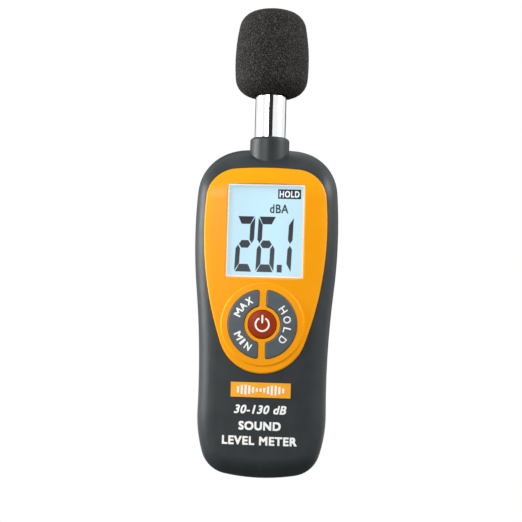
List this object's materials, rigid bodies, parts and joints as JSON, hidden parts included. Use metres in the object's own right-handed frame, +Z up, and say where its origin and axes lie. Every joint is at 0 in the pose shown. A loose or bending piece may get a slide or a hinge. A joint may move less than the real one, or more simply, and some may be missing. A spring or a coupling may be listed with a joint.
{
  "type": "sound level meter",
  "caption": "Hand-held sound level meter: crowned two-shell housing, display and ring of keys on a raised fascia, polished microphone barrel, pull-off foam windscreen, sliding battery cover.",
  "frame": {"origin": "bottom of the housing, on the microphone's axis, half way through the depth", "axes": "+Z up the body towards the microphone, +Y out of the back, -Y out of the display side, +X right as seen from the front"},
  "size_m": [0.0606, 0.0348, 0.1997],
  "materials": {
    "housing": "fine-textured slate grey ABS",
    "fascia": "glossy orange ABS",
    "window": "clear acrylic pane",
    "display": "backlit liquid crystal display, pale blue",
    "diffuser": "white light guide",
    "elastomer": "striped conductive elastomer",
    "holder": "white moulded frame",
    "nameplate": "orange printed plate",
    "component_black": "black moulded epoxy",
    "board": "green solder mask on glass fibre",
    "component_steel": "bright tinned can",
    "trimmer": "blue moulded potentiometer",
    "barrel": "polished chrome",
    "steel": "zinc plated steel",
    "capsule": "anodised capsule can",
    "insulator": "white insulating ring",
    "lead_grey": "grey screened lead",
    "battery_can": "plain wrapped 9 V battery",
    "snap": "black moulded snap connector",
    "lead_red": "red insulated lead",
    "lead_black": "black insulated lead",
    "pad": "foam pad",
    "brass": "turned brass",
    "keys": "slate grey silicone keys",
    "power_key": "brick red key",
    "plunger": "switch plunger",
    "foam": "open-cell black foam"
  },
  "bodies": {
    "body": {"front_shell": "housing", "rear_shell": "housing", "fascia": "fascia", "lcd_window": "window", "lcd_glass": "display", "lcd_backlight": "diffuser", "lcd_connector": "elastomer", "lcd_holder": "holder", "nameplate": "nameplate", "switch_bodies": "component_black", "main_board": "board", "main_chip": "component_black", "analogue_chip": "component_black", "crystal": "component_steel", "capacitors": "component_black", "level_trimmer": "trimmer", "microphone_tube": "barrel", "tube_clip": "steel", "microphone_capsule": "capsule", "microphone_insulator": "insulator", "microphone_grille": "barrel", "microphone_lead": "lead_grey", "battery": "battery_can", "battery_snap": "snap", "battery_lead_red": "lead_red", "battery_lead_black": "lead_black", "battery_pad": "pad", "housing_screws": "steel", "board_screws": "steel", "tripod_bush": "brass"},
    "windscreen": {"windscreen": "foam"},
    "power_key": {"power_key": "power_key", "power_plunger": "plunger"},
    "max_min_key": {"max_min_key": "keys", "max_min_plunger": "plunger"},
    "hold_key": {"hold_key": "keys", "hold_plunger": "plunger"},
    "battery_cover": {"battery_cover": "housing"}
  },
  "joints": [
    {"name": "windscreen_pull", "type": "slide", "parent": "body", "child": "windscreen", "axis": [0, 0, 1], "range_m": [0, 0.03]},
    {"name": "power_key_press", "type": "slide", "parent": "body", "child": "power_key", "axis": [0, 1, 0], "range_m": [0, 0.0008], "stiffness_N_per_m": 1800, "springref_m": -0.0004},
    {"name": "max_min_key_press", "type": "slide", "parent": "body", "child": "max_min_key", "axis": [0, 1, 0], "range_m": [0, 0.0008], "stiffness_N_per_m": 1800, "springref_m": -0.0004},
    {"name": "hold_key_press", "type": "slide", "parent": "body", "child": "hold_key", "axis": [0, 1, 0], "range_m": [0, 0.0008], "stiffness_N_per_m": 1800, "springref_m": -0.0004},
    {"name": "battery_cover_slide", "type": "slide", "parent": "body", "child": "battery_cover", "axis": [0, 0, -1], "range_m": [0, 0.066]}
  ]
}
